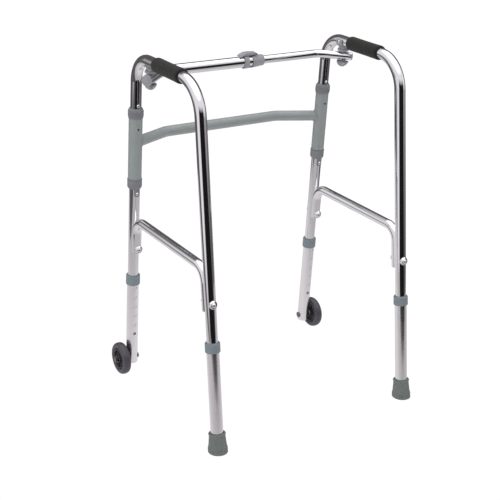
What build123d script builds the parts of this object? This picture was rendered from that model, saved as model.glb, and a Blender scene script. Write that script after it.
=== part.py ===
"""Folding walking frame with two front wheels.

Millimetres, +Z up, +Y forward, +X to the user's right. The origin is the middle of
the footprint, on the floor. Every left-hand piece is built once and mirrored.
"""
from build123d import *
from math import atan, degrees
import os

os.makedirs("parts", exist_ok=True)

# ---- Driving dimensions ------------------------------------------------------
HALF_SPAN = 258.0            # side frame's plane from the middle of the walker
HANDLE_HEIGHT = 811.0        # axis of the handle above the floor
FRONT_FOOT_Y = 211.3         # front leg's axis at the floor
REAR_FOOT_Y = -226.2         # rear leg's axis at the floor
FRONT_LEAN = 0.064           # how far the front leg leans back, per mm of height
REAR_LEAN = 0.124            # how far the rear leg leans forward, per mm of height
FRONT_BEND = 62.0            # centre-line radius at the front of the handle
REAR_BEND = 76.0             # centre-line radius at the back of the handle

FRAME_TUBE = 25.4            # outside diameter of the side frame's tube
FRAME_WALL = 1.4
LEG_TUBE = 28.6              # outside diameter of the height-adjusting leg
LEG_WALL = 1.3
HOLE_PITCH = 25.4            # height adjustment, one step
HOLE_COUNT = 6
HOLE_DIAMETER = 8.0
BUTTON_DIAMETER = 7.7
BUTTON_STATION = {"front": 110.0, "rear": 104.0}   # lowest hole, along the leg
INNER_END = {"front": 92.0, "rear": 88.0}          # bottom of the frame tube
COLLAR_TOP = {"front": 269.0, "rear": 258.0}
COLLAR_HEIGHT = {"front": 25.0, "rear": 22.0}
COLLAR_DIAMETER = 34.0
LEG_END = {"front": 26.0, "rear": 9.0}             # bottom of the adjusting leg

GRIP_DIAMETER = 34.0
GRIP_FRONT, GRIP_REAR = 63.5, -55.5

BRACE_TUBE = 22.2
BRACE_WALL = 1.4
BRACE_HEIGHT = 416.0
BRACE_BEND = 35.0
BRACE_OFFSET = 16.5          # brace's turned-down ends, axis to leg axis
BRACE_FRONT_END, BRACE_REAR_END = 334.0, 322.0
BOLT_HEIGHT = 346.0
BOLT_DIAMETER = 6.0

SLEEVE_DIAMETER = 31.8
SLEEVE_BORE = 27.8
SLEEVE_BOTTOM, SLEEVE_TOP = 519.0, 668.0           # stations along the front leg
BUSH_FLANGE = 34.4
BUSH_HEIGHT = 23.0
SPIGOT_LENGTH = 18.0
RUNNING_GAP = 0.06
END_GAP = 0.25

CROSSBAR_TUBE = 25.4
CROSSBAR_WALL = 1.4
CROSSBAR_HEIGHT = 606.0
CROSSBAR_BOW_Y = 221.5       # front of the bowed run
CROSSBAR_BOW_X = 154.0       # where the bowed run turns back
CROSSBAR_BEND = 50.0

BAR_HEIGHT = 777.5           # folding top bar's axis, at its pivots
BAR_Y = 129.5
BAR_TURN_X = 214.0           # where the bar turns back to its pivots
PIVOT_Y = 91.5
BAR_BEND = 45.0
OUTER_BAR, OUTER_BAR_WALL = 25.4, 1.4
INNER_BAR, INNER_BAR_WALL = 19.0, 1.2
OUTER_BAR_END = 41.0         # right-hand end of the wide half, from the middle
INNER_BAR_END = -24.0        # left-hand end of the narrow half, inside the wide one
BAR_STUB = 22.0              # how far each half of the bar runs on past its pivot
BAR_CLEAR = OUTER_BAR / 2 + 0.3                    # bracket and knob, from the bar's axis

WHEEL_RADIUS = 40.0
WHEEL_WIDTH = 20.0
WHEEL_OFFSET = 28.5          # wheel's mid plane, outboard of the leg's axis
HUB_RADIUS = 25.0
AXLE_DIAMETER = 8.0
TIP_BASE, TIP_TOP, TIP_HEIGHT = 45.0, 34.5, 45.0

# ---- Places worked out from them ---------------------------------------------
front_lean = degrees(atan(FRONT_LEAN))
rear_lean = degrees(atan(REAR_LEAN))


def leg_plane(end):
    """Frame on the left leg's axis: origin on the floor, z up the leg, x to the right."""
    foot, lean = (FRONT_FOOT_Y, -FRONT_LEAN) if end == "front" else (REAR_FOOT_Y, REAR_LEAN)
    return Plane(origin=(-HALF_SPAN, foot, 0), x_dir=(1, 0, 0), z_dir=(0, lean, 1))


def front_y(height):
    return FRONT_FOOT_Y - FRONT_LEAN * height


def rear_y(height):
    return REAR_FOOT_Y + REAR_LEAN * height


def rod(radius, low, high):
    """Solid cylinder along Z from low to high."""
    return Pos(0, 0, low) * Cylinder(radius, high - low, align=(Align.CENTER, Align.CENTER, Align.MIN))


def pipe(radius, bore, low, high):
    return rod(radius, low, high) - rod(bore, low - 1, high + 1)


def cross_rod(radius, y_low, y_high, station):
    """Solid cylinder along Y at a height, in a leg's own frame."""
    return Pos(0, y_low, station) * Rot(-90, 0, 0) * rod(radius, 0, y_high - y_low)


def side_rod(radius, x_low, x_high):
    """Solid cylinder along X."""
    return Pos(x_low, 0, 0) * Rot(0, 90, 0) * rod(radius, 0, x_high - x_low)


def swept(path, radius, bore=0):
    """Tube, or solid bar when bore is 0, along a path."""
    start = Plane(origin=path @ 0, z_dir=path % 0)
    section = Circle(radius) - Circle(bore) if bore else Circle(radius)
    return sweep(start * section, path=path)


def turned(*points):
    """Solid of revolution about Z from a closed outline of (radius, height) points."""
    return revolve(make_face(Plane.XZ * Polyline(*points, close=True)), Axis.Z)


def mirrored(shape):
    return mirror(shape, Plane.YZ)


def save(name, *solids):
    shape = solids[0] if len(solids) == 1 else Compound(children=list(solids))
    export_step(shape, f"parts/{name}.step")


def save_pair(name, *solids):
    """Writes a left-hand piece and its mirror image."""
    save("left_" + name, *solids)
    save("right_" + name, *[mirrored(s) for s in solids])


front_leg = leg_plane("front")
rear_leg = leg_plane("rear")
LEGS = {"front": (front_leg, -1), "rear": (rear_leg, 1)}   # plane, way the holes face


# ---- Side frame: one bent tube --------------------------------------------------
def side_path():
    """Up the front leg, back along the handle, down the rear leg."""
    handle = HANDLE_HEIGHT
    return Wire(
        FilletPolyline(
            (-HALF_SPAN, front_y(INNER_END["front"]), INNER_END["front"]),
            (-HALF_SPAN, front_y(handle), handle),
            (-HALF_SPAN, rear_y(handle), handle),
            (-HALF_SPAN, rear_y(INNER_END["rear"]), INNER_END["rear"]),
            radius=[FRONT_BEND, REAR_BEND],
        ).edges()
    )


def bolt_line(end, radius, reach=45):
    """Cylinder through the leg and the brace where the brace is bolted."""
    plane, _ = LEGS[end]
    return plane * cross_rod(radius, -reach, reach, BOLT_HEIGHT)


SCREW_STATIONS = {"upper": 698.0, "lower": 484.0}
SCREW_SHANK, SCREW_HEAD = 2.0, 4.0

side_tube = swept(side_path(), FRAME_TUBE / 2, FRAME_TUBE / 2 - FRAME_WALL)
side_tube -= bolt_line("front", BOLT_DIAMETER / 2 + 0.15)
side_tube -= bolt_line("rear", BOLT_DIAMETER / 2 + 0.15)
for end, (plane, way) in LEGS.items():
    side_tube -= plane * cross_rod(HOLE_DIAMETER / 2, *sorted((0, way * 20)), BUTTON_STATION[end])
for station in SCREW_STATIONS.values():
    side_tube -= front_leg * cross_rod(SCREW_SHANK, -20, 0, station)
bracket_screw_line = Pos(-HALF_SPAN, PIVOT_Y - 2, HANDLE_HEIGHT) * Rot(0, 90, 0)
side_tube -= bracket_screw_line * rod(SCREW_SHANK, 0, 20)
save_pair("side_tube", side_tube)

# ---- Foam grip -----------------------------------------------------------------
grip_length = GRIP_FRONT - GRIP_REAR
grip = pipe(GRIP_DIAMETER / 2, FRAME_TUBE / 2, 0, grip_length)
grip = fillet(grip.edges().filter_by(GeomType.CIRCLE).filter_by(lambda e: e.radius > FRAME_TUBE / 2 + 1), 3.0)
save_pair("grip", Pos(-HALF_SPAN, GRIP_FRONT, HANDLE_HEIGHT) * Rot(90, 0, 0) * grip)


# ---- Side brace, bolted to both legs --------------------------------------------
def brace_path():
    """Down-turned front end, level run, down-turned rear end."""
    front_at = lambda z: front_y(z) - BRACE_OFFSET
    rear_at = lambda z: rear_y(z) + BRACE_OFFSET
    return Wire(
        FilletPolyline(
            (-HALF_SPAN, front_at(BRACE_FRONT_END), BRACE_FRONT_END),
            (-HALF_SPAN, front_at(BRACE_HEIGHT), BRACE_HEIGHT),
            (-HALF_SPAN, rear_at(BRACE_HEIGHT), BRACE_HEIGHT),
            (-HALF_SPAN, rear_at(BRACE_REAR_END), BRACE_REAR_END),
            radius=BRACE_BEND,
        ).edges()
    )


brace = swept(brace_path(), BRACE_TUBE / 2, BRACE_TUBE / 2 - BRACE_WALL)
for end, (plane, _) in LEGS.items():
    brace -= plane * rod(FRAME_TUBE / 2, 200, 600)
    brace -= bolt_line(end, BOLT_DIAMETER / 2 + 0.15)
save_pair("side_brace", brace)

# The bolts run fore and aft: domed heads face back, nuts face forward.
outer_face = BRACE_OFFSET + BRACE_TUBE / 2
leg_face = FRAME_TUBE / 2
WASHER_RADIUS, WASHER_HEIGHT = 9.5, 4.0
HEAD_RADIUS, HEAD_HEIGHT = 6.0, 3.6
NUT_HEIGHT, NUT_ACROSS = 5.0, 10.0


def dome(radius, height):
    """Spherical cap of a given base radius and height, standing on Z = 0."""
    ball = (radius**2 + height**2) / (2 * height)
    return (Pos(0, 0, height - ball) * Sphere(ball)) & rod(radius, 0, height)


def facing_back(shape, depth, station):
    return Pos(0, -depth, station) * Rot(90, 0, 0) * shape


def facing_front(shape, depth, station):
    return Pos(0, depth, station) * Rot(-90, 0, 0) * shape


def dished_washer(seat):
    """Cup washer whose underside is hollowed to the tube it sits on."""
    cup = turned((0, -4), (WASHER_RADIUS, -4), (WASHER_RADIUS, 1.2), (7.2, WASHER_HEIGHT), (0, WASHER_HEIGHT))
    cup -= Pos(0, 0, WASHER_HEIGHT - 0.8) * rod(HEAD_RADIUS + 0.1, 0, 3)
    cup -= rod(BOLT_DIAMETER / 2 + 0.1, -10, 10)
    return cup - Pos(0, 0, -seat) * Rot(90, 0, 0) * rod(seat, -30, 30)


bolts, washers, nuts = [], [], []
for end, back, ahead in (
    ("front", outer_face, leg_face),
    ("rear", leg_face, outer_face),
):
    plane, _ = LEGS[end]
    seat = BRACE_TUBE / 2 if end == "front" else FRAME_TUBE / 2
    shank_end = ahead + NUT_HEIGHT + 1.5
    bolt = facing_back(dome(HEAD_RADIUS, HEAD_HEIGHT), back + WASHER_HEIGHT - 0.8, BOLT_HEIGHT)
    bolt += cross_rod(BOLT_DIAMETER / 2, -back - WASHER_HEIGHT + 0.8, shank_end, BOLT_HEIGHT)
    nut = extrude(RegularPolygon(NUT_ACROSS / 2, 6, major_radius=False), NUT_HEIGHT + 3)
    nut -= rod(BOLT_DIAMETER / 2, -1, 20)
    nut = facing_front(nut, ahead - 3, BOLT_HEIGHT)
    nut_seat = rod(FRAME_TUBE / 2, 200, 600) if end == "front" else (
        Pos(0, BRACE_OFFSET, 0) * rod(BRACE_TUBE / 2, 200, 600))
    bolts.append(plane * bolt)
    washers.append(plane * facing_back(dished_washer(seat), back, BOLT_HEIGHT))
    nuts.append(plane * (nut - nut_seat))
save_pair("brace_bolts", *bolts)
save_pair("brace_washers", *washers)
save_pair("brace_nuts", *nuts)

# ---- Hinge: sleeves welded to the crossbar turn on bushes fixed to the legs --------
sleeve = pipe(SLEEVE_DIAMETER / 2, SLEEVE_BORE / 2, SLEEVE_BOTTOM, SLEEVE_TOP)
sleeve -= cross_rod(2.6, -20, -10, 643)
left_sleeve = front_leg * sleeve
save("hinge_sleeves", left_sleeve, mirrored(left_sleeve))


def bush():
    """Flanged bush with its spigot pointing down, flange bottom at Z = 0."""
    spigot = SLEEVE_BORE / 2 - RUNNING_GAP
    body = turned(
        (FRAME_TUBE / 2, -SPIGOT_LENGTH), (spigot, -SPIGOT_LENGTH), (spigot, 0),
        (BUSH_FLANGE / 2, 0), (BUSH_FLANGE / 2, BUSH_HEIGHT - 4),
        (BUSH_FLANGE / 2 - 2.2, BUSH_HEIGHT), (FRAME_TUBE / 2, BUSH_HEIGHT),
    )
    return body


def tab():
    """Tongue at the back of the bush, curved to the tube, with the screw hole."""
    outline = RectangleRounded(13, 26, 4)
    blank = Pos(0, -10, 0) * Rot(90, 0, 0) * extrude(outline, 10)
    shell = rod(FRAME_TUBE / 2 + 2.4, -20, 20) - rod(FRAME_TUBE / 2, -21, 21)
    return blank & shell


upper_z, lower_z = SLEEVE_TOP + END_GAP, SLEEVE_BOTTOM - END_GAP
upper_bush = Pos(0, 0, upper_z) * bush()
upper_bush -= cross_rod(SCREW_HEAD + 0.6, -30, -5, SCREW_STATIONS["upper"])
lower_bush = Pos(0, 0, lower_z) * Rot(180, 0, 0) * bush()
lower_bush += Pos(0, 0, SCREW_STATIONS["lower"] + 6) * tab()
lower_bush -= cross_rod(SCREW_SHANK + 0.2, -30, -5, SCREW_STATIONS["lower"])
save_pair("upper_bush", front_leg * upper_bush)
save_pair("lower_bush", front_leg * lower_bush)


def pan_screw(length):
    """Pan-head screw, underside of the head at Z = 0, pointing down."""
    return dome(SCREW_HEAD, 2.4) + rod(SCREW_SHANK, -length, 0)


upper_screw = front_leg * facing_back(pan_screw(6), FRAME_TUBE / 2, SCREW_STATIONS["upper"])
lower_screw = front_leg * facing_back(pan_screw(8), FRAME_TUBE / 2 + 2.4, SCREW_STATIONS["lower"])

# ---- Crossbar -------------------------------------------------------------------
crossbar_path = Wire(
    FilletPolyline(
        (-HALF_SPAN, front_y(CROSSBAR_HEIGHT), CROSSBAR_HEIGHT),
        (-CROSSBAR_BOW_X, CROSSBAR_BOW_Y, CROSSBAR_HEIGHT),
        (CROSSBAR_BOW_X, CROSSBAR_BOW_Y, CROSSBAR_HEIGHT),
        (HALF_SPAN, front_y(CROSSBAR_HEIGHT), CROSSBAR_HEIGHT),
        radius=CROSSBAR_BEND,
    ).edges()
)
crossbar = swept(crossbar_path, CROSSBAR_TUBE / 2, CROSSBAR_TUBE / 2 - CROSSBAR_WALL)
sleeve_blank = front_leg * rod(SLEEVE_DIAMETER / 2, 400, 800)
crossbar -= sleeve_blank
crossbar -= mirrored(sleeve_blank)
crossbar = max(crossbar.solids(), key=lambda s: s.volume)
save("crossbar", crossbar)

# ---- Folding top bar ---------------------------------------------------------------
# Its pivots are parallel to the front legs. In the bar's own frame x runs along it, y
# forward, z up the pivots, and the origin is the middle of the level run.
bar_plane = Plane(
    origin=(0, BAR_Y, BAR_HEIGHT), x_dir=(1, 0, 0), z_dir=(0, -FRONT_LEAN, 1))
pivot_back = BAR_Y - PIVOT_Y
run = Vector(HALF_SPAN - BAR_TURN_X, -pivot_back, 0).normalized()
pivot_point = Vector(HALF_SPAN, -pivot_back, 0)
tube_end = pivot_point + run * BAR_STUB


def bar_path(sign, inner_x):
    """From the middle of the bar out to the pivot, on the side given by sign."""
    return Wire(
        FilletPolyline(
            (inner_x, 0, 0),
            (sign * BAR_TURN_X, 0, 0),
            (sign * tube_end.X, tube_end.Y, 0),
            radius=BAR_BEND,
        ).edges()
    )


def half_bar(sign, inner_x, diameter, wall):
    """One half of the bar, with its pivot hole."""
    tube = swept(bar_path(sign, inner_x), diameter / 2, diameter / 2 - wall)
    return tube - Pos(sign * pivot_point.X, pivot_point.Y, 0) * rod(PIVOT_BOLT + RUNNING_GAP, -30, 30)


def end_cap(sign, diameter, wall):
    """Domed plug in the open end past the pivot."""
    cap = dome(diameter / 2, 2.6) + rod(diameter / 2 - wall, -8, 0)
    seat = Plane(origin=(sign * tube_end.X, tube_end.Y, 0), z_dir=(sign * run.X, run.Y, 0))
    return seat * cap


PIVOT_BOLT = 3.0
save("left_bar_tube", bar_plane * half_bar(-1, OUTER_BAR_END, OUTER_BAR, OUTER_BAR_WALL))
save("right_bar_tube", bar_plane * half_bar(1, INNER_BAR_END, INNER_BAR, INNER_BAR_WALL))
save("left_bar_end_cap", bar_plane * end_cap(-1, OUTER_BAR, OUTER_BAR_WALL))
save("right_bar_end_cap", bar_plane * end_cap(1, INNER_BAR, INNER_BAR_WALL))

# ---- Bar brackets, screwed under the front of each handle ----------------------------
pivot_plane = Plane(
    origin=bar_plane.from_local_coords(Vector(-HALF_SPAN, -pivot_back, 0)),
    x_dir=(1, 0, 0), z_dir=(0, -FRONT_LEAN, 1))
lug_bottom = BAR_CLEAR
SADDLE_WIDTH, SADDLE_THICKNESS = 22.0, 2.6
saddle_middle = PIVOT_Y - 2
saddle = Pos(-HALF_SPAN, saddle_middle - SADDLE_WIDTH / 2, HANDLE_HEIGHT) * Rot(-90, 0, 0) * pipe(
    FRAME_TUBE / 2 + SADDLE_THICKNESS, FRAME_TUBE / 2, 0, SADDLE_WIDTH)
# the saddle covers the under side and reaches up the inboard side, where its screw is
saddle -= Pos(-HALF_SPAN - 20, saddle_middle, HANDLE_HEIGHT - 8 + 20) * Box(40, 30, 40)
saddle -= Pos(-HALF_SPAN + 20, saddle_middle, HANDLE_HEIGHT + 5.5 + 20) * Box(40.1, 30, 40)
lug = pivot_plane * (rod(13.5, lug_bottom, lug_bottom + 4) + extrude(
    Plane.XY.offset(lug_bottom) * RectangleRounded(17, 20, 4), 26))
lug -= Pos(-HALF_SPAN, 0, HANDLE_HEIGHT) * Rot(90, 0, 0) * rod(FRAME_TUBE / 2, -250, 250)
lug = max(lug.solids(), key=lambda s: s.bounding_box().size.X * s.volume)
bracket = saddle + lug
bracket -= pivot_plane * rod(PIVOT_BOLT + 0.05, -10, 18)
bracket -= bracket_screw_line * rod(SCREW_SHANK + 0.1, 0, 30)
save_pair("bar_bracket", bracket)
bracket_screw = bracket_screw_line * Pos(0, 0, FRAME_TUBE / 2 + SADDLE_THICKNESS) * pan_screw(7)
save_pair("frame_screws", upper_screw, lower_screw, bracket_screw)

# The left pivot bolt is fixed in its bracket. The right one stops just under its
# bracket, where the linkage is open.
KNOB_TOP = -BAR_CLEAR
KNOB_HEIGHT, KNOB_NUB = 9.5, 2.5
bolt_low = KNOB_TOP - KNOB_HEIGHT + 2
left_bar_bolt = pivot_plane * rod(PIVOT_BOLT, bolt_low, 16)
right_bar_bolt = mirrored(pivot_plane * rod(PIVOT_BOLT, bolt_low, lug_bottom - 0.3))
save("left_bar_bolt", left_bar_bolt)
save("right_bar_bolt", right_bar_bolt)

KNOB_LOBES = 5
lobes = Circle(10.5)
for lobe in range(KNOB_LOBES):
    lobes += Rot(0, 0, lobe * 360 / KNOB_LOBES) * Pos(10.5, 0) * Circle(4.5)
knob = Pos(0, 0, KNOB_TOP - KNOB_HEIGHT) * extrude(lobes, KNOB_HEIGHT)
knob &= Pos(0, 0, KNOB_TOP - KNOB_HEIGHT / 2) * Cone(9.5, 16.5, KNOB_HEIGHT)
knob += rod(6, KNOB_TOP - KNOB_HEIGHT - KNOB_NUB, KNOB_TOP - KNOB_HEIGHT + 2)
knob -= rod(PIVOT_BOLT + RUNNING_GAP, bolt_low - 0.5, 5)
save_pair("bar_knob", pivot_plane * knob)

# ---- Latch on the end of the wide half: clamp, lever and pin ---------------------------
BAND_LEFT, BAND_RIGHT = 0.0, 11.0
BODY_LEFT, BODY_SHOULDER, BODY_RIGHT = 22.0, 29.0, 53.0
BAND_RADIUS, NOSE_RADIUS = 16.0, 12.6
LEVER_GAP = 0.35
body_turned = Rot(0, 90, 0) * turned(
    (9.8, BODY_LEFT), (15.2, BODY_LEFT), (15.2, BODY_SHOULDER), (NOSE_RADIUS + 0.4, BODY_RIGHT - 4),
    (NOSE_RADIUS, BODY_RIGHT), (9.8, BODY_RIGHT))
band = side_rod(BAND_RADIUS, BAND_LEFT, BAND_RIGHT)
rail = (side_rod(BAND_RADIUS - 0.4, BAND_RIGHT - 1, BODY_LEFT + 1)) & (
    Pos((BAND_RIGHT + BODY_LEFT) / 2, 2, -17) * Box(BODY_LEFT - BAND_RIGHT + 4, 22, 13))
PIN_X, PIN_Z, PIN_RADIUS, BARREL = 31.0, 18.0, 1.3, 2.7
ear = Pos(PIN_X, 0, PIN_Z) * Rot(90, 0, 0) * rod(BARREL, -9.0, 9.0)
ear += Pos(PIN_X, 0, PIN_Z - 5) * Box(2 * BARREL, 18, 10)
ear -= Pos(PIN_X, 0, PIN_Z) * Box(14, 13, 9)
latch_body = body_turned + band + rail + ear
latch_body -= side_rod(OUTER_BAR / 2, -20, OUTER_BAR_END)
latch_body -= side_rod(INNER_BAR / 2 + 0.3, 0, 80)
latch_body -= Pos(PIN_X, 0, PIN_Z) * Rot(90, 0, 0) * rod(PIN_RADIUS, -20, 20)
save("latch_body", bar_plane * latch_body)
save("latch_pin", bar_plane * Pos(PIN_X, 0, PIN_Z) * Rot(90, 0, 0) * rod(PIN_RADIUS, -10, 10))

lever_seat = BAND_RADIUS + LEVER_GAP
lever_back = Wire(FilletPolyline(
    (PIN_X, PIN_Z + BARREL - 0.1), (16, 22.0), (3, 21.4), (-7, 17.8), (-12, 13.2), radius=5).edges())
lever_front = Polyline((-12, 13.2), (-10, 12.6), (-5, 14.0), (-3, lever_seat), (20, lever_seat), (PIN_X, PIN_Z - 0.4),
                       (PIN_X, PIN_Z + BARREL - 0.1))
lever_outline = make_face(Wire([*lever_back.edges(), *lever_front.edges()]))
lever = extrude(Plane.XZ * lever_outline, 8.5, both=True)
lever -= Pos(PIN_X, 0, PIN_Z) * Box(2 * BARREL + 1.6, 30, 2 * BARREL + 3)
knuckle = Pos(PIN_X - 4, 0, PIN_Z) * Box(8, 12, 2 * BARREL - 1.2)
lever += knuckle + Pos(PIN_X, 0, PIN_Z) * Rot(90, 0, 0) * rod(BARREL - 0.1, -6.0, 6.0)
lever -= side_rod(lever_seat - 0.1, -3, BODY_SHOULDER + 6)
lever -= side_rod(OUTER_BAR / 2 + LEVER_GAP, -20, 60)
lever -= Pos(PIN_X, 0, PIN_Z) * Rot(90, 0, 0) * rod(PIN_RADIUS + 0.08, -20, 20)
lever = max(lever.solids(), key=lambda s: s.volume)
save("latch_lever", bar_plane * lever)


# ---- Height-adjusting legs ---------------------------------------------------------------
def collar(end):
    """Moulded guide on the top of the leg, close on the frame tube."""
    top = COLLAR_TOP[end]
    low = top - COLLAR_HEIGHT[end]
    outer = COLLAR_DIAMETER / 2
    body = turned(
        (FRAME_TUBE / 2 + 0.1, top), (outer - 1.5, top), (outer, top - 2), (outer, low + 1), (outer - 0.8, low),
        (LEG_TUBE / 2, low), (LEG_TUBE / 2, top - 6), (FRAME_TUBE / 2 + 0.1, top - 6))
    return body


def leg_tube(end):
    """Outer leg with the row of adjusting holes on the side that faces the other leg."""
    way = LEGS[end][1]
    tube = pipe(LEG_TUBE / 2, LEG_TUBE / 2 - LEG_WALL, LEG_END[end], COLLAR_TOP[end] - 6)
    for hole in range(HOLE_COUNT):
        station = BUTTON_STATION[end] + hole * HOLE_PITCH
        tube -= cross_rod(HOLE_DIAMETER / 2, *sorted((way * 8, way * 20)), station)
    return tube


axle_height = WHEEL_RADIUS
axle_plane = Plane(origin=(-HALF_SPAN, front_y(axle_height), axle_height), x_dir=(1, 0, 0), z_dir=(0, 0, 1))
front_tube = front_leg * leg_tube("front")
front_tube -= axle_plane * side_rod(AXLE_DIAMETER / 2 + 0.1, -30, 30)
save_pair("front_leg_tube", front_tube)
save_pair("front_leg_collar", front_leg * collar("front"))
save_pair("rear_leg_tube", rear_leg * leg_tube("rear"))
save_pair("rear_leg_collar", rear_leg * collar("rear"))

# ---- Snap buttons and their leaf springs ---------------------------------------------------
BUTTON_TOP, BUTTON_BACK, BUTTON_TRAVEL = 12.55, 5.8, 3.0
springs = []
for end, (plane, way) in LEGS.items():
    facing = facing_back if way < 0 else facing_front
    body = rod(BUTTON_DIAMETER / 2, BUTTON_BACK, BUTTON_TOP - 1.6)
    body += Pos(0, 0, BUTTON_TOP - 1.6) * dome(BUTTON_DIAMETER / 2, 1.6)
    save_pair(end + "_snap_button", plane * facing(body, 0, BUTTON_STATION[end]))
    leaf = Wire(FilletPolyline(
        (0, way * (BUTTON_BACK - BUTTON_TRAVEL - 1), BUTTON_STATION[end] - 7),
        (0, way * 1.0, BUTTON_STATION[end] + 42),
        (0, -way * 4.0, BUTTON_STATION[end] + 42),
        (0, -way * 10.3, BUTTON_STATION[end] - 6),
        radius=2,
    ).edges())
    start = Plane(origin=leaf @ 0, x_dir=(1, 0, 0), z_dir=leaf % 0)
    springs.append(plane * sweep(start * Rectangle(7, 0.7), path=leaf))
save_pair("button_springs", *springs)

# ---- Rear tips -----------------------------------------------------------------------------
tip_profile = [
    (0, -10), (TIP_BASE / 2, -10), (TIP_BASE / 2, 9), (TIP_BASE / 2 - 2.6, 13), (TIP_TOP / 2 + 1.4, 36),
    (TIP_TOP / 2 + 1.4, TIP_HEIGHT - 1.5), (TIP_TOP / 2 + 0.4, TIP_HEIGHT), (LEG_TUBE / 2, TIP_HEIGHT),
    (LEG_TUBE / 2, LEG_END["rear"]), (0, LEG_END["rear"])]
tip = rear_leg * turned(*tip_profile)
tip -= Pos(-HALF_SPAN, REAR_FOOT_Y, -25) * Box(100, 100, 50)
save_pair("rear_tip", tip)

# ---- Front wheels ---------------------------------------------------------------------------
HALF_WIDTH = WHEEL_WIDTH / 2
TYRE_BORE = HUB_RADIUS
WEB, RIM = 3.0, 4.0
BUSH_RADIUS, BUSH_HALF = 6.5, HALF_WIDTH + 0.8


def wheel_turned(*points):
    """Ring about the axle: points are (radius, distance outboard of the mid plane)."""
    return axle_plane * Pos(-WHEEL_OFFSET, 0, 0) * Rot(0, -90, 0) * turned(*points)


tyre = wheel_turned(
    (TYRE_BORE, -HALF_WIDTH + 1), (WHEEL_RADIUS - 9, -HALF_WIDTH), (WHEEL_RADIUS - 3.4, -HALF_WIDTH + 2.2),
    (WHEEL_RADIUS - 0.8, -HALF_WIDTH + 5.2), (WHEEL_RADIUS, -2.2), (WHEEL_RADIUS, 2.2),
    (WHEEL_RADIUS - 0.8, HALF_WIDTH - 5.2), (WHEEL_RADIUS - 3.4, HALF_WIDTH - 2.2),
    (WHEEL_RADIUS - 9, HALF_WIDTH), (TYRE_BORE, HALF_WIDTH - 1))
hub = wheel_turned(
    (BUSH_RADIUS, -HALF_WIDTH), (BUSH_RADIUS + 3, -HALF_WIDTH), (BUSH_RADIUS + 3.6, -WEB),
    (HUB_RADIUS - RIM, -WEB), (HUB_RADIUS - RIM, -HALF_WIDTH + 1.5), (HUB_RADIUS, -HALF_WIDTH + 1.5),
    (HUB_RADIUS, HALF_WIDTH - 1.5), (HUB_RADIUS - RIM, HALF_WIDTH - 1.5), (HUB_RADIUS - RIM, WEB),
    (BUSH_RADIUS + 3.6, WEB), (BUSH_RADIUS + 3, HALF_WIDTH), (BUSH_RADIUS, HALF_WIDTH))
axle_bush = wheel_turned(
    (AXLE_DIAMETER / 2 + 0.06, -BUSH_HALF), (BUSH_RADIUS, -BUSH_HALF),
    (BUSH_RADIUS, BUSH_HALF), (AXLE_DIAMETER / 2 + 0.06, BUSH_HALF))
save_pair("wheel_tyre", tyre)
save_pair("wheel_hub", hub)
save_pair("wheel_bush", axle_bush)

# Axle bolt: dome head inboard of the leg, spacer, wheel, washer, cap nut.
leg_out = LEG_TUBE / 2
wheel_in = WHEEL_OFFSET - BUSH_HALF - 0.2
wheel_out = WHEEL_OFFSET + BUSH_HALF + 0.2
WASHER_THICK, CAP_NUT = 1.6, 7.0
nut_in = wheel_out + WASHER_THICK
leg_blank = front_leg * rod(leg_out, 0, 200)
head = Pos(leg_out - 0.6, 0, 0) * Rot(0, 90, 0) * (rod(7.5, 0, 2.4) + Pos(0, 0, 2.4) * dome(7.5, 2.6))
shank = side_rod(AXLE_DIAMETER / 2, -nut_in - CAP_NUT + 2, leg_out + 2)
axle_bolt = axle_plane * head - leg_blank + axle_plane * shank
spacer = Pos(-wheel_in, 0, 0) * Rot(0, 90, 0) * pipe(6.2, AXLE_DIAMETER / 2, 0, wheel_in - leg_out + 2)
spacer = axle_plane * spacer - leg_blank
washer = axle_plane * Pos(-nut_in, 0, 0) * Rot(0, 90, 0) * pipe(8.5, AXLE_DIAMETER / 2, 0, WASHER_THICK)
nut = extrude(RegularPolygon(6.5, 6, major_radius=False), 4.5) + Pos(0, 0, 4.5) * dome(5.6, CAP_NUT - 4)
nut -= rod(AXLE_DIAMETER / 2, -1, CAP_NUT - 2)
cap_nut = axle_plane * Pos(-nut_in, 0, 0) * Rot(0, -90, 0) * nut
save_pair("axle_bolt", axle_bolt)
save_pair("axle_nut_and_washers", spacer, washer, cap_nut)
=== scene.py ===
"""Looks of a folding walking frame: studio, finishes, and the pieces made here round the frame."""

from math import cos, pi, radians, sin

import bmesh
import bpy
import numpy as np
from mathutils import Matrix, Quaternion, Vector


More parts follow.
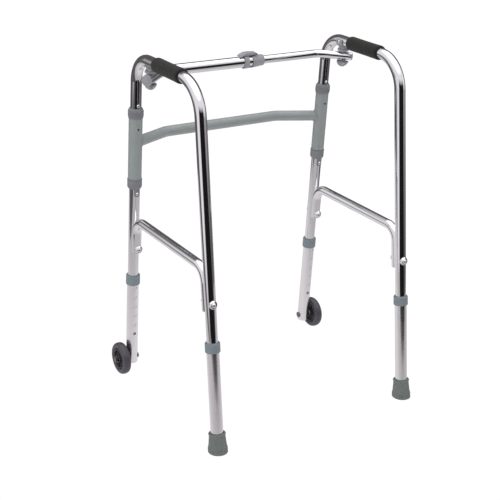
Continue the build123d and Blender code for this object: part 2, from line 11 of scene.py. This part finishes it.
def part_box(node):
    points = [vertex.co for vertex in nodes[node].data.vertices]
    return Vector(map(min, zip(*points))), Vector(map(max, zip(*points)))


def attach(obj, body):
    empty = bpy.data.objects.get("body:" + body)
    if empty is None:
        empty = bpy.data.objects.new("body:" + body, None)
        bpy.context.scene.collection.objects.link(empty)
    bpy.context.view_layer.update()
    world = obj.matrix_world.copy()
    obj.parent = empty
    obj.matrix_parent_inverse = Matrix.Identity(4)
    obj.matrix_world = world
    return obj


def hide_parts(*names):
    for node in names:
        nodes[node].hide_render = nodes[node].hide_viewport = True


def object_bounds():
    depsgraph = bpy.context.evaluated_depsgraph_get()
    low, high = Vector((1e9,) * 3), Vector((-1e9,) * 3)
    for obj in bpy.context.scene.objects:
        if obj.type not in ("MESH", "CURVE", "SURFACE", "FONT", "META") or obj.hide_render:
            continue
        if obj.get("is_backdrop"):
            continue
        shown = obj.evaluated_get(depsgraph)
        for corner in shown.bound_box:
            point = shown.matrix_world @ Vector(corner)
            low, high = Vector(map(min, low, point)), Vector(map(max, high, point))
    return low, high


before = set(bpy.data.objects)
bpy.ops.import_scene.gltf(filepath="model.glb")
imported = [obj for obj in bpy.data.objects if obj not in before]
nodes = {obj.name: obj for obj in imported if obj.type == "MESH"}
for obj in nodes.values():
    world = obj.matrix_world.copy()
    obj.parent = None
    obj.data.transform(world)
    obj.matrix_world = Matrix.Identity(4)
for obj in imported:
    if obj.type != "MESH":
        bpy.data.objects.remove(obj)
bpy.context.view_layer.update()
SIDES = {"left": -1, "right": 1}

# ---- Camera --------------------------------------------------------------------------
# A long lens at standing height, behind the user's left shoulder, tipped a little
# clockwise. It looks at a point just left of the middle of the frame.
AIM = Vector((-0.047, 0.0, 0.361))
DISTANCE, TURN, LOOK_DOWN, TIP = 2.7384, radians(31.92), radians(22.23), radians(1.53)
LENS, FILM = 83.84, 36.0
sight = Vector((sin(TURN) * cos(LOOK_DOWN), cos(TURN) * cos(LOOK_DOWN), -sin(LOOK_DOWN)))
camera = bpy.data.objects.new("camera", bpy.data.cameras.new("camera"))
bpy.context.scene.collection.objects.link(camera)
camera.data.lens, camera.data.sensor_width = LENS, FILM
camera.data.clip_end = 50
camera.location = AIM - sight * DISTANCE
camera.rotation_mode = "QUATERNION"
camera.rotation_quaternion = sight.to_track_quat("-Z", "Y") @ Quaternion((0, 0, 1), TIP)
bpy.context.scene.camera = camera
bpy.context.scene.view_settings.view_transform = "Standard"


# ---- Shader writing ------------------------------------------------------------------
# Every finish is written with these two: a number that Python sums work on, and a
# node tree with one method that adds any node.
class Number:
    """A socket that Python sums work on. Each sum adds its Math node."""

    def __init__(self, tree, socket):
        self.tree, self.socket = tree, socket

    def maths(self, operation, *values):
        return self.tree.add("Math", {"operation": operation}, dict(enumerate(values)))

    def __add__(self, other):
        return self.maths("ADD", self, other)

    def __sub__(self, other):
        return self.maths("SUBTRACT", self, other)

    def __rsub__(self, other):
        return self.maths("SUBTRACT", other, self)

    def __mul__(self, other):
        return self.maths("MULTIPLY", self, other)

    __radd__, __rmul__ = __add__, __mul__

    def __truediv__(self, other):
        return self.maths("DIVIDE", self, other)

    def step(self, edge, width):
        """0 below the edge and 1 above it, rising evenly over the width."""
        ramp = (self - edge) / width + 0.5
        return ramp.maths("MINIMUM", ramp.maths("MAXIMUM", ramp, 0.0), 1.0)


class Tree:
    """A node tree being written."""

    def __init__(self, owner):
        owner.use_nodes = True
        self.nodes, self.links = owner.node_tree.nodes, owner.node_tree.links

    def join(self, value, socket):
        if isinstance(value, Number):
            self.links.new(value.socket, socket)
        else:
            socket.default_value = value

    def add(self, kind, settings=None, sockets=None, output=0):
        """Adds a node: its settings, then the values or links of its sockets."""
        node = self.nodes.new("ShaderNode" + kind)
        for name, value in (settings or {}).items():
            setattr(node, name, value)
        for name, value in (sockets or {}).items():
            self.join(value, node.inputs[name])
        return Number(self, node.outputs[output])

    def blend(self, share, first, second):
        """Colour between two colours."""
        ends = [v if isinstance(v, Number) else (*v, 1) for v in (first, second)]
        return self.add("Mix", {"data_type": "RGBA"}, {0: share, 6: ends[0], 7: ends[1]}, output=2)


class Finish(Tree):
    """A material: constants go straight on the shader, and the pattern is added after."""

    def __init__(self, name, slot, **constants):
        self.material = bpy.data.materials.new(name)
        super().__init__(self.material)
        self.slot = slot
        self.shader = self.nodes["Principled BSDF"]
        for socket, value in constants.items():
            self.shader.inputs[socket.replace("_", " ")].default_value = value
        self.place = self.add("TexCoord", output="Object")

    def cloud(self, size, stretch=(1, 1, 1), detail=3.0):
        """Noise from 0 to 1 with blotches about so many metres across."""
        place = self.add("Mapping", {}, {"Vector": self.place, "Scale": stretch})
        return self.add("TexNoise", {}, {"Vector": place, "Scale": 1 / size, "Detail": detail})

    def paint(self, colour, roughness, height=None, depth=0.0):
        """Joins the pattern to the shader; height is a bump so many metres deep."""
        self.join(colour, self.shader.inputs["Base Color"])
        self.join(roughness, self.shader.inputs["Roughness"])
        if height is not None:
            bump = self.add("Bump", {}, {"Height": height, "Distance": depth, "Strength": 1.0})
            self.join(bump, self.shader.inputs["Normal"])
        return self


def dress(finish, *names):
    """Gives CAD nodes their finish."""
    for name in names:
        for place in nodes[name].material_slots:
            place.material = finish.material


def on_sides(*names):
    return [f"{side}_{name}" for side in SIDES for name in names]


# ---- Studio --------------------------------------------------------------------------
# A wide white floor and a white room light everything, and the background is plain white.
# The metal mirrors something else: one sheet of paper under the frame, brightest under the
# wheels, in a room that is dark below eye level and bright above it.
PAPER_EDGES = ((-1.35, 1.50), (-1.16, 1.95))
PAPER_MIDDLE, NEAR, FAR = (0.0, 0.6), 0.60, 1.30
PAPER_GLOW, GLOW_LOST = 0.74, 0.24          # at the middle, and how much less far from it
FLOOR_DEPTH, FLOOR_GLOW, FLOOR_REACH = 0.135, 0.22, 30      # below the longest setting of the legs
FLOOR_WHITE = (0.93, 0.93, 0.93, 1)


def flat(name, finish, x_edges, y_edges, height):
    corners = [(x_edges[0], y_edges[0], height), (x_edges[1], y_edges[0], height),
               (x_edges[1], y_edges[1], height), (x_edges[0], y_edges[1], height)]
    mesh = bpy.data.meshes.new(name)
    mesh.from_pydata(corners, [], [(0, 1, 2, 3)])
    mesh.materials.append(finish.material)
    made = bpy.data.objects.new(name, mesh)
    bpy.context.scene.collection.objects.link(made)
    made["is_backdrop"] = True
    return made


sweep = Finish("studio_sweep", None, Base_Color=FLOOR_WHITE, Roughness=1.0,
               Specular_IOR_Level=0.0, Emission_Color=(1, 1, 1, 1), Emission_Strength=FLOOR_GLOW)
floor = flat("floor", sweep, (-FLOOR_REACH, FLOOR_REACH), (-FLOOR_REACH, FLOOR_REACH),
             -FLOOR_DEPTH - 0.001)
floor.visible_camera = floor.visible_glossy = False

paper = Finish("mirrored_paper", None, Base_Color=(0, 0, 0, 1), Roughness=1.0,
               Specular_IOR_Level=0.0, Emission_Color=(1.0, 0.975, 1.0, 1))
across, ahead = (paper.add("SeparateXYZ", {}, {0: paper.place}, output=i) - PAPER_MIDDLE[i]
                 for i in range(2))
away = across.maths("SQRT", across * across + ahead * ahead)
glow = PAPER_GLOW - away.step((NEAR + FAR) / 2, FAR - NEAR) * GLOW_LOST
paper.join(glow, paper.shader.inputs["Emission Strength"])
sheet = flat("paper", paper, *PAPER_EDGES, -FLOOR_DEPTH)
sheet.visible_camera = sheet.visible_shadow = sheet.visible_diffuse = False

world = bpy.data.worlds.new("studio")
bpy.context.scene.world = world
room = Tree(world)
heading = room.add("TexCoord", output="Generated")
east, north, up = (room.add("SeparateXYZ", {}, {0: heading}, output=i) for i in range(3))


def towards(turn, half, soft):
    """1 inside a cone round a level heading, in degrees from the right."""
    return (east * cos(radians(turn)) + north * sin(radians(turn))).step(cos(radians(half)), soft)


def under(edge, width):
    """1 for directions below a height, falling to 0 above it."""
    return 1 - up.step(edge, width)


# The room as the metal sees it: white above eye level, dim below it but for a window on the
# left, a dim wall in front that makes dark outlines, and a black wall behind the user.
WHITE, DIM, BLACK = (0.97, 0.97, 1.0), (0.125, 0.118, 0.125), (0.013, 0.011, 0.011)
ROOM_LIGHT, CEILING_MORE, BACKDROP_MORE = 0.86, 1.2, 0.16
left_window = towards(188, 26, 0.06) * up.step(-0.30, 0.05)
low = under(-0.04, 0.34) * (1 - left_window)
front_wall = towards(58, 62, 0.20) * under(0.70, 0.20)
back_wall = towards(-97, 46, 0.10) * under(0.30, 0.28)
mirrored = room.add("LightPath", output="Is Glossy Ray")
seen = room.add("LightPath", output="Is Camera Ray")
light = room.blend(low * mirrored, WHITE, DIM)
light = room.blend(front_wall * mirrored, light, DIM)
light = room.blend(back_wall * mirrored, light, BLACK)
light = room.blend(seen, light, (1, 1, 1))
background = room.nodes["Background"]
room.join(light, background.inputs["Color"])
ceiling = up.step(0.75, 0.3) * mirrored
room.join(ceiling * CEILING_MORE + seen * BACKDROP_MORE + ROOM_LIGHT, background.inputs["Strength"])

# Name, place, size and power. None of them shows in the metal.
LIGHTS = (("key", (-2.2, -0.6, 2.4), 1.6, 34), ("fill", (2.4, -1.2, 2.2), 1.6, 20),
          ("top", (0.1, 0.6, 3.0), 2.4, 40))
for name, place, size, power in LIGHTS:
    lamp = bpy.data.lights.new(name, "AREA")
    lamp.shape, lamp.size, lamp.energy = "SQUARE", size, power
    holder = bpy.data.objects.new(name, lamp)
    bpy.context.scene.collection.objects.link(holder)
    holder.location = place
    holder.visible_glossy = False
    holder.rotation_mode = "QUATERNION"
    holder.rotation_quaternion = (Vector((0, 0, 0.4)) - holder.location).to_track_quat("-Z", "Y")


# ---- Side frames ---------------------------------------------------------------------
# Each side is one bent aluminium tube with a second, thinner tube bolted across the legs.
# Both are polished and clear anodised, and their gloss changes faintly in lines along the tube.
def metal(name, slot, tint, gloss, along, marks=0.0):
    """Bare metal. The lines run along the given stretch of the pattern, with a bump if marked."""
    made = Finish(name, slot, Metallic=1.0)
    smear = made.cloud(0.03)
    lines = made.cloud(0.0006, along, 2.0)
    colour = made.blend(smear * 0.5, tint, [c * 0.93 for c in tint])
    roughness = smear * gloss * 0.6 + lines * gloss * 0.5 + gloss * 0.45
    return made.paint(colour, roughness, lines if marks else None, marks)


UPRIGHT, ACROSS = (1, 1, 0.02), (0.02, 1, 1)
polished = metal("polished_tube", "polished_aluminium", (0.88, 0.865, 0.88), 0.07, UPRIGHT)
dress(polished, *on_sides("side_tube", "side_brace"))

bright = metal("bright_steel", "bright_steel", (0.82, 0.81, 0.83), 0.09, (1, 1, 1), 1e-6)
dress(bright, *on_sides("brace_bolts", "brace_washers", "brace_nuts", "frame_screws", "bar_bolt"))
dress(bright, "latch_pin")


# ---- Handgrips -----------------------------------------------------------------------
# Closed-cell foam sleeves, pushed on wet. The ends are rounded over, the front more than
# the back, and the middle is pressed in a little by the hand.
def closed_mesh(name, points, finish, body, replaces=()):
    """Grid of points that closes on itself both ways, made a piece on a body."""
    rows, columns = points.shape[:2]
    index = np.arange(rows * columns).reshape(rows, columns)
    beside, after = np.roll(index, -1, 1), np.roll(index, -1, 0)
    faces = np.stack([index, beside, np.roll(after, -1, 1), after], -1).reshape(-1, 4)
    mesh = bpy.data.meshes.new(name)
    mesh.from_pydata(points.reshape(-1, 3).tolist(), [], faces.tolist())
    shell = bmesh.new()
    shell.from_mesh(mesh)
    bmesh.ops.remove_doubles(shell, verts=shell.verts, dist=2e-6)
    bmesh.ops.recalc_face_normals(shell, faces=shell.faces)
    shell.to_mesh(mesh)
    shell.free()
    mesh.shade_smooth()
    made = bpy.data.objects.new(name, mesh)
    bpy.context.scene.collection.objects.link(made)
    mesh.materials.append(finish.material)
    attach(made, body)
    if replaces:
        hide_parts(*replaces)
    return made


def spin(radius, height, centre, axis, segments=96):
    """Turns a closed section about an axis. Radius and height are arrays, by section point
    and, where they change round the axis, by turn."""
    axis = np.array(axis, float) / np.linalg.norm(axis)
    first = np.cross(axis, (1.0, 0.0, 0.0) if abs(axis[0]) < 0.9 else (0.0, 1.0, 0.0))
    first /= np.linalg.norm(first)
    second = np.cross(axis, first)
    turn = np.arange(segments)[:, None] * 2 * pi / segments
    ring = np.cos(turn)[..., None] * first + np.sin(turn)[..., None] * second
    radius, height = (np.broadcast_to(a, (segments, a.shape[-1])) for a in (radius, height))
    return np.array(centre, float) + radius[..., None] * ring + height[..., None] * axis


foam = Finish("foam_sleeve", "foam_grip", Sheen_Weight=0.06, Sheen_Roughness=0.6)
foam.join(0.2, foam.shader.inputs["Specular IOR Level"])
cells = foam.cloud(0.0009, detail=4.0)
worn = foam.cloud(0.02)
foam.paint(foam.blend(cells.step(0.5, 0.5), (0.005, 0.0046, 0.004), (0.014, 0.013, 0.011)),
           worn * 0.1 + 0.82, cells, 0.0005)

FRONT_ROUND, BACK_ROUND, HAND_DIP = 0.010, 0.006, 0.0005


def grip_points(low, high):
    """Radius along the tube: full, less a cosine dip, and a quarter ellipse at each end."""
    axis_x, axis_z = (low[0] + high[0]) / 2, (low[2] + high[2]) / 2
    full, bore = (high[2] - low[2]) / 2, 0.01275
    reach = np.linspace(0, 1, 90)
    along = low[1] + (high[1] - low[1]) * (0.5 - 0.5 * np.cos(pi * reach))
    outer = full - HAND_DIP * (0.5 + 0.5 * np.cos(2 * pi * (reach - 0.5)))
    for inset, rounding in ((along - low[1], BACK_ROUND), (high[1] - along, FRONT_ROUND)):
        missing = np.clip(1 - inset / rounding, 0, 1)
        outer = np.minimum(outer, bore + (outer - bore) * np.sqrt(1 - missing**2))
    radius = np.concatenate([outer, np.full(2, bore)])
    height = np.concatenate([along, [high[1] - 0.0002, low[1] + 0.0002]])
    return spin(radius, height, (axis_x, 0, axis_z), (0, 1, 0))


for side in SIDES:
    points = grip_points(*map(np.array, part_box(f"{side}_grip")))
    grip = closed_mesh(f"{side}_foam_grip", points, foam, f"{side}_side_frame", [f"{side}_grip"])


# ---- Folding hinge and crossbar ------------------------------------------------------
# Steel sleeves welded to a bowed crossbar, powder coated grey. Each sleeve turns on two
# moulded bushes that are screwed to the front leg.
powder = Finish("powder_coat", "grey_paint", Coat_Weight=0.35, Coat_Roughness=0.22)
peel = powder.cloud(0.0016)
powder.paint(powder.blend(powder.cloud(0.05), (0.175, 0.192, 0.192), (0.205, 0.222, 0.220)),
             peel * 0.12 + 0.36, peel, 0.00006)
dress(powder, "crossbar", "hinge_sleeves")


def moulded(name, slot, first, second, gloss, grain=0.0007, depth=0.00004):
    """Moulded plastic or rubber with a fine spark-eroded texture and uneven colour."""
    made = Finish(name, slot)
    texture = made.cloud(grain)
    colour = made.blend(made.cloud(0.012), first, second)
    return made.paint(colour, texture * 0.15 + gloss, texture, depth)


bush_grey = moulded("bush_plastic", "bush_plastic",
                    (0.115, 0.120, 0.127), (0.150, 0.156, 0.163), 0.40)
dress(bush_grey, *on_sides("upper_bush", "lower_bush"))

FRONT_LEAN, REAR_LEAN = 0.064, 0.124        # back and forward, per metre of height
LEG_X = (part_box("right_side_tube")[0][0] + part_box("right_side_tube")[1][0]) / 2
FRONT_FOOT_Y, REAR_FOOT_Y = 0.2113, -0.2262
CROSSBAR_Z, CROSSBAR_RADIUS, SLEEVE_RADIUS = 0.606, 0.0127, 0.0159
BOW_X, BOW_Y = 0.154, 0.2215                # where the crossbar's bowed run turns back
BEAD, RIPPLE, RIPPLES = 0.0019, 0.16, 34


def weld_points(sign):
    """Ring round the line where the crossbar's cylinder meets the sleeve's, with ripples."""
    leg = np.array((0, -FRONT_LEAN, 1)) / np.hypot(FRONT_LEAN, 1)
    foot = np.array((sign * LEG_X, FRONT_FOOT_Y - FRONT_LEAN * CROSSBAR_Z, CROSSBAR_Z))
    run = np.array((-sign * BOW_X + sign * LEG_X, foot[1] - BOW_Y, 0)) * -1
    run /= np.linalg.norm(run)
    over = np.array((0, 0, 1.0))
    out = np.cross(over, run)
    turn = np.linspace(0, 2 * pi, 220, endpoint=False)[:, None]
    spoke = np.cos(turn) * out + np.sin(turn) * over
    edge = CROSSBAR_RADIUS * spoke
    edge_across = edge - (edge @ leg)[:, None] * leg
    run_across = run - (run @ leg) * leg
    dot = edge_across @ run_across
    size = run_across @ run_across
    reach = (-dot + np.sqrt(dot**2 - size * ((edge_across**2).sum(1) - SLEEVE_RADIUS**2))) / size
    line = foot + edge + reach[:, None] * run
    around = np.linspace(0, 2 * pi, 14, endpoint=False)[None, :, None]
    thick = BEAD * (1 + RIPPLE * np.cos(RIPPLES * turn))[:, None]
    return line[:, None] + thick * (np.cos(around) * spoke[:, None] + np.sin(around) * run)


for side, sign in SIDES.items():
    closed_mesh(f"{side}_weld", weld_points(sign), powder, "front_frame")

# Fine upright ribs round the collar of each upper bush, and a near-black disc sunk in the hole
# that each sleeve has at the back, which is painted shade inside the hole. Stations are distances up
# the front leg.
LEG_UP = np.array((0, -FRONT_LEAN, 1)) / np.hypot(FRONT_LEAN, 1)
LEG_BACK = np.array((0, -1, -FRONT_LEAN)) / np.hypot(FRONT_LEAN, 1)
BUSH_RADIUS, RIBBED, FLUTES, FLUTE = 0.0172, (0.6715, 0.6860), 44, 0.00035
STEPS_PER_FLUTE, SUNK, STANDING = 8, 0.0003, 0.00045
SHADE_DISC_STATION, SHADE_DISC_RADIUS, SHADE_DISC_REACH = 0.643, 0.00255, (0.0141, 0.0152)


def rib_points(foot):
    """Thin band round the bush: its outside waves round the leg and falls away at both ends."""
    reach = np.linspace(0, 1, 24)
    rise = np.clip(np.sin(pi * reach) * 6, 0, 1)
    steps = FLUTES * STEPS_PER_FLUTE
    wave = 0.5 + 0.5 * np.cos(FLUTES * np.arange(steps)[:, None] * 2 * pi / steps)
    outer = BUSH_RADIUS - SUNK + (STANDING + 2 * FLUTE * wave) * rise
    radius = np.concatenate([outer, np.full((len(outer), 2), BUSH_RADIUS - 0.0008)], 1)
    height = np.concatenate([RIBBED[0] + (RIBBED[1] - RIBBED[0]) * reach, RIBBED[::-1]])
    return spin(radius, height, foot, LEG_UP, steps)


# Near-black disc finish: painted shade for the inside of each sleeve hole.
black = moulded("painted_hole_shade", "hub_plastic", (0.006, 0.006, 0.007), (0.009, 0.009, 0.010), 0.5)
for side, sign in SIDES.items():
    foot = np.array((sign * LEG_X, FRONT_FOOT_Y, 0))
    closed_mesh(f"{side}_bush_ribs", rib_points(foot), bush_grey, f"{side}_side_frame")
    disc = spin(np.array([0, SHADE_DISC_RADIUS, SHADE_DISC_RADIUS, 0]), np.repeat(SHADE_DISC_REACH, 2),
                foot + SHADE_DISC_STATION * LEG_UP, LEG_BACK, 32)
    closed_mesh(f"{side}_sleeve_hole_shade", disc, black, "front_frame")

# ---- Adjusting legs ------------------------------------------------------------------
# Wider aluminium tubes with a row of holes, satin anodised, with a moulded guide at the
# top. A sprung steel button inside the frame tube stands in one of the holes.
satin = metal("satin_tube", "satin_aluminium", (0.90, 0.875, 0.89), 0.2, UPRIGHT, 2e-6)
dress(satin, *on_sides("front_leg_tube", "rear_leg_tube"))
collar = moulded("collar_plastic", "collar_plastic",
                 (0.115, 0.145, 0.160), (0.140, 0.168, 0.184), 0.42)
dress(collar, *on_sides("front_leg_collar", "rear_leg_collar"))
button = metal("button_steel", "button_steel", (0.38, 0.385, 0.40), 0.25, (1, 1, 1), 1e-6)
dress(button, *on_sides("front_snap_button", "rear_snap_button"))
spring = metal("spring_steel", "spring_steel", (0.35, 0.36, 0.38), 0.3, UPRIGHT, 1e-6)
dress(spring, *on_sides("button_springs"))

# ---- Rear tips -----------------------------------------------------------------------
# Grey rubber ferrules pushed on the legs: a rolled lip at the top, a tapering body, and a
# wide foot with three fine rings. The foot is ground flat on the floor.
rubber = moulded("tip_rubber", "tip_rubber",
                 (0.086, 0.098, 0.094), (0.115, 0.127, 0.121), 0.62, 0.0011, 0.00008)
FOOT_RADIUS, NECK_RADIUS, SOCKET = 0.0224, 0.0186, 0.01435
FOOT_TOP, NECK, TIP_TOP, SOCKET_FLOOR = 0.010, 0.036, 0.0452, 0.009
RING_DEPTH, LIP = 0.0007, 0.0011


def tip_points(sign):
    """Radius up the leg: foot, straight taper and lip, less three round-bottomed rings."""
    up = np.linspace(-0.004, TIP_TOP, 150)
    taper = np.interp(up, (FOOT_TOP, FOOT_TOP + 0.004, NECK),
                      (FOOT_RADIUS, FOOT_RADIUS - 0.0016, NECK_RADIUS))
    lip = LIP * np.exp(-(((up - TIP_TOP + 0.0028) / 0.0019) ** 2))
    rings = sum(np.exp(-(((up - z) / 0.0006) ** 2)) for z in (0.0035, 0.0065, 0.0095))
    outer = taper + lip - RING_DEPTH * rings
    shoulder = np.clip((up - TIP_TOP + 0.0016) / 0.0016, 0, 1)
    outer -= 0.0016 * (1 - np.sqrt(1 - shoulder**2))
    radius = np.concatenate([outer, [SOCKET, SOCKET, 0, 0]])
    height = np.concatenate([up, [TIP_TOP - 0.0004, SOCKET_FLOOR, SOCKET_FLOOR, up[0]]])
    made = spin(radius, height, (sign * LEG_X, REAR_FOOT_Y, 0), (0, REAR_LEAN, 1))
    made[..., 2] = np.maximum(made[..., 2], 0)
    return made


for side, sign in SIDES.items():
    closed_mesh(f"{side}_ferrule", tip_points(sign), rubber,
                f"{side}_rear_leg", [f"{side}_rear_tip"])

# ---- Front wheels --------------------------------------------------------------------
# Solid tyres pressed on moulded hubs, turning on a nylon bush and a bolt through the leg.
# The hub is dished on both sides, with ribs between its boss and its rim.
tyre_rubber = moulded("tyre_rubber", "tyre_rubber", (0.032, 0.029, 0.036), (0.048, 0.043, 0.053), 0.36)
hub_plastic = moulded("hub_plastic", "hub_plastic", (0.012, 0.012, 0.014), (0.02, 0.02, 0.022), 0.45)
WHEEL_RADIUS, HUB_RADIUS, HALF_WIDTH, SQUARENESS = 0.040, 0.025, 0.010, 2.5
BOSS, RIM_INSIDE, BORE = 0.0098, 0.0212, 0.0066
WEB, RIB, RIBS = 0.0030, 0.0058, 9


def tyre_section():
    """Superellipse: both half widths keep their size and the corners fill out."""
    turn = np.linspace(0, 2 * pi, 72, endpoint=False)
    power = 2 / SQUARENESS
    bulge = np.sign(np.cos(turn)) * np.abs(np.cos(turn)) ** power
    width = np.sign(np.sin(turn)) * np.abs(np.sin(turn)) ** power
    middle, half = (WHEEL_RADIUS + HUB_RADIUS) / 2, (WHEEL_RADIUS - HUB_RADIUS) / 2
    return middle + half * bulge, HALF_WIDTH * width


def hub_section(segments):
    """Half thickness from the boss to the rim: a web with ribs, rising steeply to both."""
    out = np.linspace(BORE, HUB_RADIUS - 0.0002, 70)
    turn = np.arange(segments)[:, None] * 2 * pi / segments
    ribs = np.clip(np.cos(RIBS * turn) * 3 - 1.9, 0, 1)
    inner = np.clip((BOSS + 0.0008 - out) / 0.0009, 0, 1)
    rim = np.clip((out - RIM_INSIDE) / 0.0009, 0, 1)
    between = WEB + (RIB - WEB) * ribs
    half = between + (0.0098 - between) * inner
    half = half + (0.0088 - half) * rim
    return np.concatenate([out, out[::-1]]), np.concatenate([half, -half[:, ::-1]], 1)


for side in SIDES:
    low, high = map(np.array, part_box(f"{side}_wheel_tyre"))
    middle = (low + high) / 2
    closed_mesh(f"{side}_tyre", spin(*tyre_section(), middle, (1, 0, 0), 128), tyre_rubber,
                f"{side}_wheel", [f"{side}_wheel_tyre"])
    closed_mesh(f"{side}_hub", spin(*hub_section(180), middle, (1, 0, 0), 180), hub_plastic,
                f"{side}_wheel", [f"{side}_wheel_hub"])

nylon = moulded("bush_nylon", "bush_nylon", (0.50, 0.50, 0.47), (0.56, 0.56, 0.53), 0.4)
dress(nylon, *on_sides("wheel_bush"))
# The plating tint is kept far darker than bright zinc. This is painted shade for the dark that the
# axle nuts and bolt ends sit in.
zinc_with_painted_shade = metal("zinc_plate_painted_shade", "axle_steel", (0.20, 0.20, 0.21), 0.22, (1, 1, 1), 2e-6)
dress(zinc_with_painted_shade, *on_sides("axle_bolt", "axle_nut_and_washers"))

# ---- Folding top bar -----------------------------------------------------------------
# A wide and a narrow polished tube that slide together, with domed plugs in their ends. At
# each pivot is a moulded bracket above and a lobed knob below, and a flip latch sits on the
# end of the wide half.
bar_metal = metal("polished_bar", "polished_aluminium", (0.88, 0.865, 0.88), 0.07, ACROSS)
dress(bar_metal, "left_bar_tube", "right_bar_tube")
fitting = moulded("fitting_plastic", "grey_plastic", (0.185, 0.185, 0.20), (0.22, 0.22, 0.235), 0.36)
dress(fitting, *on_sides("bar_end_cap", "bar_bracket", "bar_knob"))
dress(fitting, "latch_body", "latch_lever")

low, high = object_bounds()
